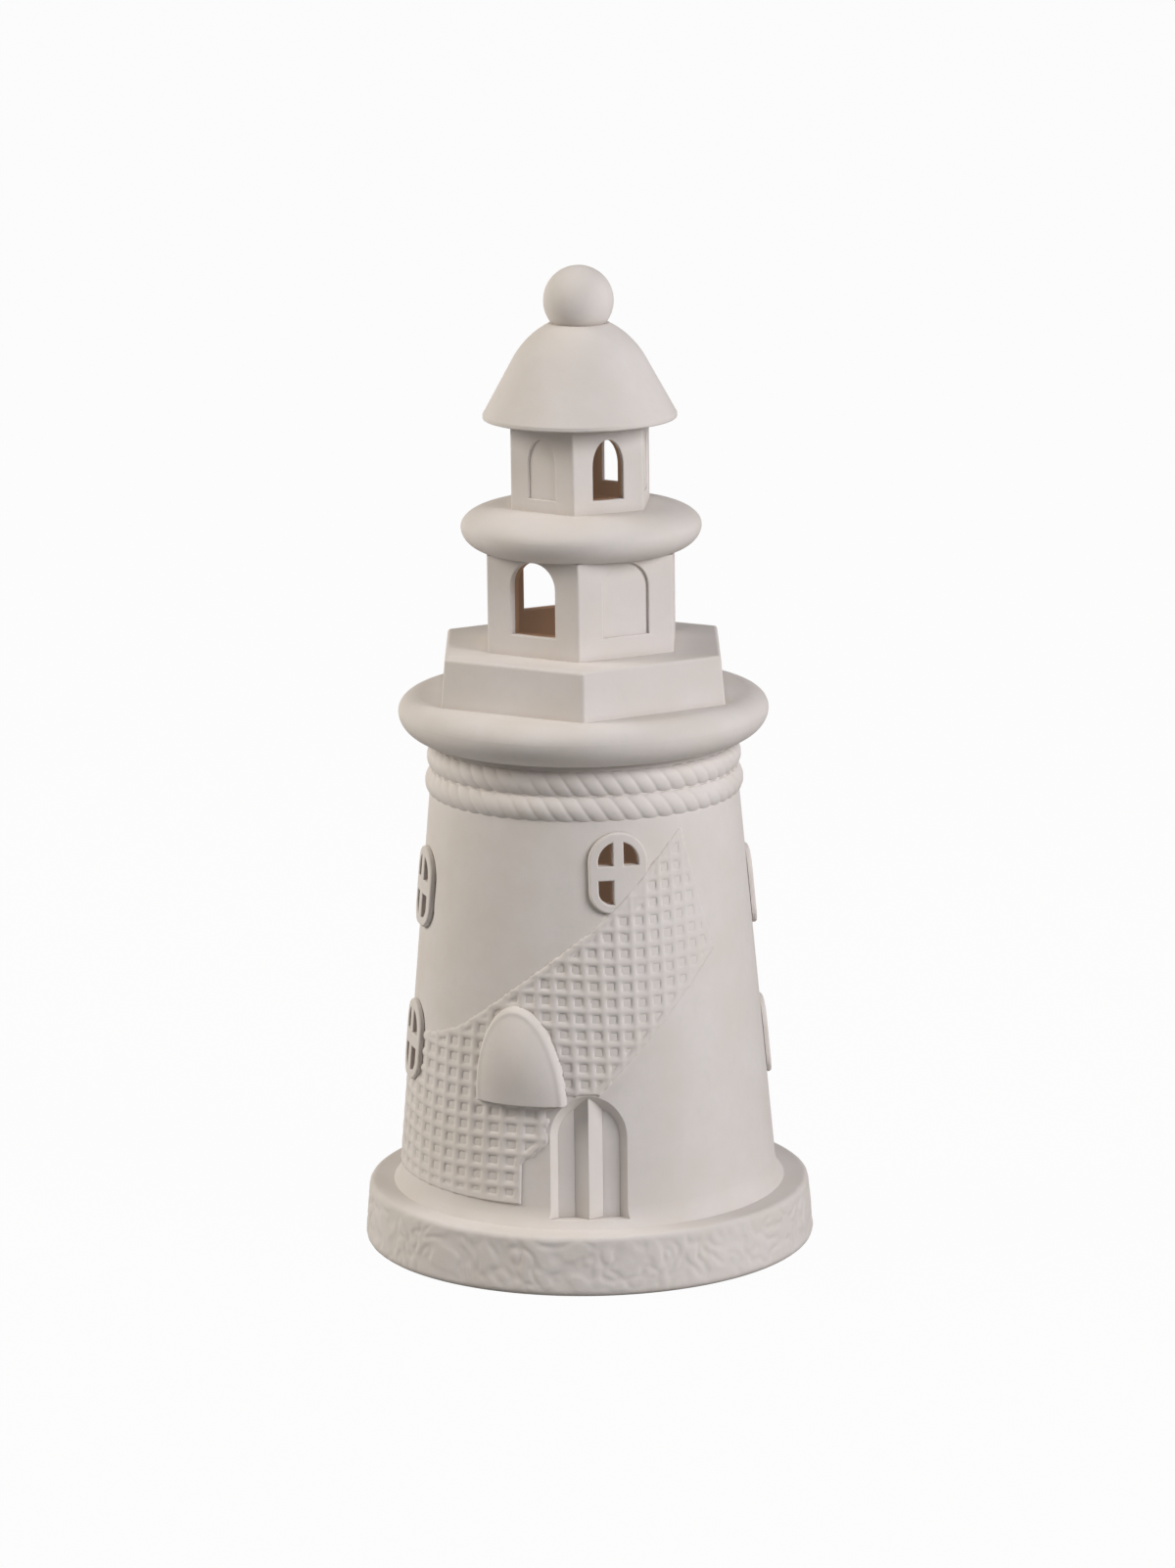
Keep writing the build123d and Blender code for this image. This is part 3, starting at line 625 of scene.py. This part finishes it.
wick_low, wick_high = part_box("tealight_wick")
wick_heights = np.linspace(wick_low.z, wick_high.z - WICK_TIP, WICK_LEVELS).tolist()
wick_section = [(0, wick_low.z)]
wick_section += [(wick_high.x, level) for level in wick_heights]
wick_section += [(wick_high.x * WICK_TIP_SHARE, wick_high.z - WICK_TIP_EDGE), (0, wick_high.z)]


def braided(azimuth, place):
    """Twist the wick's strands round it."""
    turn = WICK_LOBES * azimuth + 2 * math.pi * wick_section[place][1] / WICK_TWIST
    return WICK_BRAID * (np.cos(turn) - 1), 0.0


points, faces = turned(wick_section, WICK_STEPS, braided)
wick_piece = new_piece("wick_braided", points, faces, "tealight", "wick_cotton", ["tealight_wick"])

# %% [markdown]
# ## Shader arithmetic
# A finish is a sum of small causes: grain, mottling, dust in the creases. Drawn as nodes, sums sprawl.
# So one small class wraps a socket and lets Python's own operators add the Math nodes, and one method
# adds any other node.

# %% A socket with arithmetic


class Wire:
    """One output in a node tree. Arithmetic on it adds Math nodes."""

    def __init__(self, tree, socket=None):
        self.tree = tree
        self.socket = socket

    def node(self, kind, settings=None, inputs=None, output=0):
        """Add a node, set it up, feed its sockets, and give one of its outputs."""
        made = self.tree.nodes.new(kind)
        for key, value in (settings or {}).items():
            setattr(made, key, value)
        for key, value in (inputs or {}).items():
            self.feed(made.inputs[key], value)
        return Wire(self.tree, made.outputs[output])

    def feed(self, socket, value):
        """Link a wire to a socket, or set the socket to a plain value."""
        if isinstance(value, Wire):
            self.tree.links.new(value.socket, socket)
        else:
            socket.default_value = value

    def math(self, operation, first, second):
        """Add a Math node that works on two wires or numbers."""
        return self.node("ShaderNodeMath", {"operation": operation}, {0: first, 1: second})

    def __add__(self, other):
        return self.math("ADD", self, other)

    def __sub__(self, other):
        return self.math("SUBTRACT", self, other)

    def __rsub__(self, other):
        return self.math("SUBTRACT", other, self)

    def __mul__(self, other):
        return self.math("MULTIPLY", self, other)

    def __pow__(self, other):
        return self.math("POWER", self, other)

    __radd__ = __add__
    __rmul__ = __mul__

    def below(self, other):
        """1 where this value is less than another, else 0."""
        return self.math("LESS_THAN", self, other)

    def above(self, other):
        """1 where this value is greater than another, else 0."""
        return self.math("GREATER_THAN", self, other)

    def between(self, low, high):
        """Stretch the range from low to high over 0 to 1, and stop there."""
        inputs = {"Value": self, "From Min": low, "From Max": high}
        return self.node("ShaderNodeMapRange", {"clamp": True}, inputs)

    def blend(self, colour, other):
        """Mix two colours by this value."""
        return self.node("ShaderNodeMix", {"data_type": "RGBA"}, {0: self, 6: colour, 7: other}, 2)


def noise_on(place, size, detail=3.0, roughness=0.5):
    """Noise from 0 to 1 whose features are about a size in metres."""
    inputs = {"Vector": place, "Scale": 1 / size, "Detail": detail, "Roughness": roughness}
    return place.node("ShaderNodeTexNoise", {}, inputs)


def srgb(red, green, blue):
    """Colour given as it shows on a screen, 0 to 255, as Blender's linear values."""
    linear = []
    for value in (red / 255, green / 255, blue / 255):
        linear.append(value / 12.92 if value <= 0.04045 else ((value + 0.055) / 1.055) ** 2.4)
    return (*linear, 1.0)


def new_finish(name):
    """Make a material and give its shader, and a wire of the place on the object."""
    material = bpy.data.materials.new(name)
    material.use_nodes = True
    tree = material.node_tree
    shader = tree.nodes["Principled BSDF"]
    place = Wire(tree).node("ShaderNodeTexCoord", output="Object")
    return material, shader, place


# %% [markdown]
# ## Bisque
# Unglazed cast clay is dead matt and almost white, a little warm. Seen close it is faintly mottled where
# the slip settled and finely sandy, and shade is painted on it: greyer in the creases and brown inside.
# A painted map would fix all that to one mesh. Noise in the object's own space fits every piece.
# An occlusion node with a short reach finds creases for the grey painted shade. What is inside is found by
# place: nearer to the axis than the wall at that height. There the clay gets painted brown shade and a
# painted faint glow.
# The door's recess reaches in as far as that, so there the inside starts deeper.

# %% Bisque finish
BISQUE = srgb(223, 217, 214)
BISQUE_WARM = srgb(219, 212, 206)
BISQUE_COOL = srgb(214, 211, 208)
# painted shade: grey laid into the creases that the occlusion node finds
PAINTED_CREASE_SHADE = srgb(150, 136, 124)
CREASE_SHADE_REACH = 3.0 * MM
CREASE_SHADE_SHARE = 0.3
# painted shade: brown laid on the clay inside the tower and rooms
PAINTED_INSIDE_SHADE = srgb(132, 98, 74)
INSIDE_SHADE_INSET = 1.0 * MM  # how far into a window's jamb the clay stays free of painted shade
# painted glow: the inside clay gives off light, though it is no lamp
PAINTED_INSIDE_GLOW = srgb(78, 64, 52)
NO_LIGHT = (0.0, 0.0, 0.0, 1.0)
DOOR_DEPTH = 3.3 * MM  # how much deeper the inside starts behind the door
ROOMS = {  # how far from the axis, and how far up, the inside of each stage goes
    "main_gallery": (27.4 * MM, 10.6 * MM),
    "hex_plinth": (33.5 * MM, 12.0 * MM),
    "watch_room": (22.2 * MM, 24.3 * MM),
    "upper_gallery": (11.4 * MM, 10.5 * MM),
    "lantern_room": (15.7 * MM, 21.4 * MM),
    "roof": (12.0 * MM, 11.0 * MM),
}
LEDGE = 0.3 * MM  # how far over the ring's top, or under a stage's foot, the inside starts
CLOUD_SIZE = 14 * MM
SPECK_SIZE = 2.2 * MM
GRAIN_SIZE = 0.5 * MM
UNDULATION_SIZE = 4.5 * MM
SPECK_SHARE = 0.35
GRAIN_SHARE = 0.25
BUMP_DEPTH = 0.25 * MM


def inside_of(place):
    """1 on clay inside the tower and the rooms on it, 0 on what faces out."""
    parts = place.node("ShaderNodeSeparateXYZ", {}, {"Vector": place}).socket.node.outputs
    x, y, z = (Wire(place.tree, parts[axis]) for axis in "XYZ")
    radius = (x * x + y * y) ** 0.5
    wall_at_zero = float(wall_radius(0.0)) - INSIDE_SHADE_INSET
    beside_door = DOOR_HALF_WIDTH + MARGIN
    at_door = x.above(-beside_door) * x.below(beside_door) * y.below(0.0) * z.below(door_top + MARGIN)
    inside = radius.below(wall_at_zero - z * taper - at_door * DOOR_DEPTH)
    inside = inside * z.above(ring_top + LEDGE) * z.below(tower_top)
    for node, (reach, height) in ROOMS.items():
        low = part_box(node)[0].z
        inside = inside + radius.below(reach) * z.above(low - LEDGE) * z.below(low + height)
    return inside.between(0, 1)


def bisque_finish():
    """Matt, mottled clay, with painted shade: grey in its creases and brown inside, and a painted glow
    inside.
    """
    material, shader, place = new_finish("bisque")
    clouds = noise_on(place, CLOUD_SIZE).between(0.35, 0.65)
    specks = noise_on(place, SPECK_SIZE, 4.0, 0.6).between(0.45, 0.75)
    grain = noise_on(place, GRAIN_SIZE, 2.0)
    undulation = noise_on(place, UNDULATION_SIZE, 2.0)
    open_air = place.node("ShaderNodeAmbientOcclusion", {"samples": 8}, {"Distance": CREASE_SHADE_REACH}, "AO")
    # painted shade: darker where the occlusion node finds creases
    painted_crease_shade = (1 - open_air).between(0.15, 0.75) * CREASE_SHADE_SHARE
    clay = clouds.blend(BISQUE_WARM, BISQUE)
    clay = (specks * SPECK_SHARE).blend(clay, BISQUE_COOL)
    inside = inside_of(place)
    # painted shade: brown inside, grey in the creases
    clay = inside.blend(painted_crease_shade.blend(clay, PAINTED_CREASE_SHADE), PAINTED_INSIDE_SHADE)
    place.feed(shader.inputs["Base Color"], clay)
    # painted glow: the inside gives off a faint light
    place.feed(shader.inputs["Emission Color"], inside.blend(NO_LIGHT, PAINTED_INSIDE_GLOW))
    shader.inputs["Emission Strength"].default_value = 1.0
    place.feed(shader.inputs["Roughness"], 0.82 + 0.14 * grain)
    shader.inputs["Specular IOR Level"].default_value = 0.3
    height = GRAIN_SHARE * grain + undulation
    bump = place.node("ShaderNodeBump", {}, {"Strength": 0.3, "Distance": BUMP_DEPTH, "Height": height})
    place.feed(shader.inputs["Normal"], bump)
    return material


bisque = bisque_finish()
print(bisque.name, "has", len(bisque.node_tree.nodes), "nodes")

# %% [markdown]
# ## Finishes of the tealight
# Bright pressed aluminium with fine draw marks, cloudy white paraffin that lets a little light in, waxed
# cotton, and the plain steel tab that holds the wick under the wax.

# %% Aluminium, wax, cotton and steel
STREAK_SIZE = 0.6 * MM
STREAK_STRETCH = (1, 1, 0.08)
WAX_CLOUD_SIZE = 6 * MM
WAX_LIGHT_DEPTH = 2 * MM
FIBRE_SIZE = 0.25 * MM
ALUMINIUM = srgb(205, 206, 208)
ALUMINIUM_DULL = srgb(186, 187, 190)
PARAFFIN = srgb(240, 236, 226)
PARAFFIN_CLOUD = srgb(229, 224, 212)
COTTON = srgb(232, 226, 212)
COTTON_SHADE = srgb(206, 196, 176)
STEEL = srgb(176, 178, 180)
STEEL_DULL = srgb(150, 152, 154)


def metal_finish(name, bright, dull, roughness):
    """Drawn sheet metal: fine upright streaks in its colour and polish."""
    material, shader, place = new_finish(name)
    stretched = place.node("ShaderNodeMapping", {}, {"Vector": place, "Scale": STREAK_STRETCH})
    streaks = noise_on(stretched, STREAK_SIZE)
    place.feed(shader.inputs["Base Color"], streaks.between(0.35, 0.65).blend(dull, bright))
    place.feed(shader.inputs["Roughness"], roughness + 0.12 * streaks)
    shader.inputs["Metallic"].default_value = 1.0
    bump = place.node("ShaderNodeBump", {}, {"Strength": 0.15, "Distance": 0.05 * MM, "Height": streaks})
    place.feed(shader.inputs["Normal"], bump)
    return material


def wax_finish():
    """Cloudy paraffin with a soft, slightly greasy surface."""
    material, shader, place = new_finish("paraffin")
    clouds = noise_on(place, WAX_CLOUD_SIZE, 4.0).between(0.3, 0.7)
    place.feed(shader.inputs["Base Color"], clouds.blend(PARAFFIN_CLOUD, PARAFFIN))
    place.feed(shader.inputs["Roughness"], 0.35 + 0.2 * clouds)
    shader.inputs["Subsurface Weight"].default_value = 0.25
    shader.inputs["Subsurface Radius"].default_value = (1.0, 0.8, 0.6)
    shader.inputs["Subsurface Scale"].default_value = WAX_LIGHT_DEPTH
    bump = place.node("ShaderNodeBump", {}, {"Strength": 0.2, "Distance": 0.2 * MM, "Height": clouds})
    place.feed(shader.inputs["Normal"], bump)
    return material


def cotton_finish():
    """Waxed cotton: fine fibres across the strands."""
    material, shader, place = new_finish("waxed_cotton")
    fibres = noise_on(place, FIBRE_SIZE, 3.0, 0.7)
    place.feed(shader.inputs["Base Color"], fibres.between(0.3, 0.7).blend(COTTON_SHADE, COTTON))
    place.feed(shader.inputs["Roughness"], 0.6 + 0.3 * fibres)
    shader.inputs["Sheen Weight"].default_value = 0.3
    bump = place.node("ShaderNodeBump", {}, {"Strength": 0.4, "Distance": 0.1 * MM, "Height": fibres})
    place.feed(shader.inputs["Normal"], bump)
    return material


finish_of_slot = {
    "bisque": bisque,
    "cup_aluminium": metal_finish("pressed_aluminium", ALUMINIUM, ALUMINIUM_DULL, 0.22),
    "wax": wax_finish(),
    "wick_cotton": cotton_finish(),
    "tab_steel": metal_finish("steel_tab", STEEL, STEEL_DULL, 0.35),
}
print("finishes:", sorted(finish_of_slot))

# %% Give every piece its finish
for part in frame["record"]["subparts"]:
    materials = frame["nodes"][part["node"]].data.materials
    materials.clear()
    materials.append(finish_of_slot[part["material_slot"]])

for piece in rope_pieces + [plinth_piece, hood_piece, net_piece, cup_piece, wax_piece, wick_piece]:
    piece.data.materials.append(finish_of_slot[piece["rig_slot"]])
print("finished pieces:", len(frame["nodes"]))

# %% [markdown]
# ## Studio
# The photograph is a product shot: a white surround, one large soft light from the right and in front,
# and a weaker, warmer one from the left, so that the darkest part of the tower is left of its middle.
# A white floor lit up to white would burn out the clay. Instead the floor is pale, and rays that come
# straight from the camera, or by way of a shiny surface, see most of it as plain white.

# %% Floor and surround
FLOOR_SIZE = 40.0
FLOOR_DROP = 0.05 * MM
FLOOR_COLOUR = srgb(158, 158, 158)
FLOOR_WHITE = 0.97
AMBIENT_COLOUR = (1.0, 0.985, 0.97, 1.0)
AMBIENT_STRENGTH = 0.04


def seen_directly(wire):
    """1 for rays from the camera, and for those that a shiny or clear surface sends on."""
    rays = wire.tree.nodes.new("ShaderNodeLightPath")
    seen = Wire(wire.tree, rays.outputs["Is Camera Ray"]) + Wire(wire.tree, rays.outputs["Is Glossy Ray"])
    seen = seen + Wire(wire.tree, rays.outputs["Is Transmission Ray"])
    return seen.between(0, 1)


def floor_finish():
    """Pale floor that keeps the shadow and looks white to the camera."""
    material, shader, place = new_finish("pale_floor")
    shader.inputs["Base Color"].default_value = FLOOR_COLOUR
    shader.inputs["Roughness"].default_value = 1.0
    shader.inputs["Specular IOR Level"].default_value = 0.0
    white = place.node("ShaderNodeEmission", {}, {"Strength": 1.0})
    share = seen_directly(place) * FLOOR_WHITE
    surface = Wire(place.tree, shader.outputs[0])
    mixed = place.node("ShaderNodeMixShader", {}, {0: share, 1: surface, 2: white})
    place.feed(place.tree.nodes["Material Output"].inputs["Surface"], mixed)
    return material


half = FLOOR_SIZE / 2
corners = [(-half, -half), (half, -half), (half, half), (-half, half)]
floor_mesh = bpy.data.meshes.new("floor")
floor_mesh.from_pydata([(x, y, -FLOOR_DROP) for x, y in corners], [], [(0, 1, 2, 3)])
floor = bpy.data.objects.new("floor", floor_mesh)
bpy.context.scene.collection.objects.link(floor)
floor_mesh.materials.append(floor_finish())

world = bpy.data.worlds.new("studio")
bpy.context.scene.world = world
world.use_nodes = True
sky = Wire(world.node_tree)
ambient = sky.node("ShaderNodeBackground", {}, {"Color": AMBIENT_COLOUR, "Strength": AMBIENT_STRENGTH})
surround = sky.node("ShaderNodeBackground", {}, {"Strength": 1.0})
surround.socket.node.inputs["Color"].default_value = (1, 1, 1, 1)
both = sky.node("ShaderNodeMixShader", {}, {0: seen_directly(sky), 1: ambient, 2: surround})
sky.feed(world.node_tree.nodes["World Output"].inputs["Surface"], both)

# %% Lamps
LAMP_AIM = Vector((0, 0, 110 * MM))
LAMP_DISTANCE = 1.5
LAMP_SIZE = 0.8
KEY_COLOUR = (1.0, 0.985, 0.995)
FILL_COLOUR = (1.0, 0.95, 0.87)


def soft_lamp(name, azimuth, elevation, power, colour):
    """Square lamp that looks at the tower from an azimuth and an elevation in degrees."""
    data = bpy.data.lights.new(name, "AREA")
    data.size = LAMP_SIZE
    data.energy = power
    data.color = colour
    lamp = bpy.data.objects.new(name, data)
    turn, climb = math.radians(azimuth), math.radians(elevation)
    level = math.cos(climb)
    away = Vector((level * math.sin(turn), -level * math.cos(turn), math.sin(climb)))
    lamp.location = LAMP_AIM + away * LAMP_DISTANCE
    lamp.rotation_euler = away.to_track_quat("Z", "Y").to_euler()
    bpy.context.scene.collection.objects.link(lamp)
    print(name, "gives", power, "W")


soft_lamp("key_right", azimuth=53, elevation=28, power=19.0, colour=KEY_COLOUR)
soft_lamp("fill_left", azimuth=-88, elevation=32, power=17.5, colour=FILL_COLOUR)

# %% [markdown]
# ## Camera
# The view was measured on the photograph: how fast the rings flatten with height gives the tilt and the
# distance, and the leaning axis gives a slight roll. The lens is written for a frame of 1200 by 1602.

# %% Camera
IMAGE_HEIGHT = 1602
FOCAL_PIXELS = 5915.2
SENSOR = 36.0
CAMERA_PLACE = Vector((0.8 * MM, -1430 * MM, 437 * MM))
CAMERA_TILT = 12.585
CAMERA_ROLL = 0.7

camera_data = bpy.data.cameras.new("camera")
camera_data.sensor_fit = "VERTICAL"
camera_data.sensor_height = SENSOR
camera_data.lens = FOCAL_PIXELS * SENSOR / IMAGE_HEIGHT
camera = bpy.data.objects.new("camera", camera_data)
tilt = Matrix.Rotation(math.radians(90 - CAMERA_TILT), 4, "X")
roll = Matrix.Rotation(math.radians(-CAMERA_ROLL), 4, "Z")
camera.matrix_world = Matrix.Translation(CAMERA_PLACE) @ tilt @ roll
bpy.context.scene.collection.objects.link(camera)
bpy.context.scene.camera = camera
bpy.context.scene.view_settings.view_transform = "Standard"
print("lens:", round(camera_data.lens, 2), "mm")
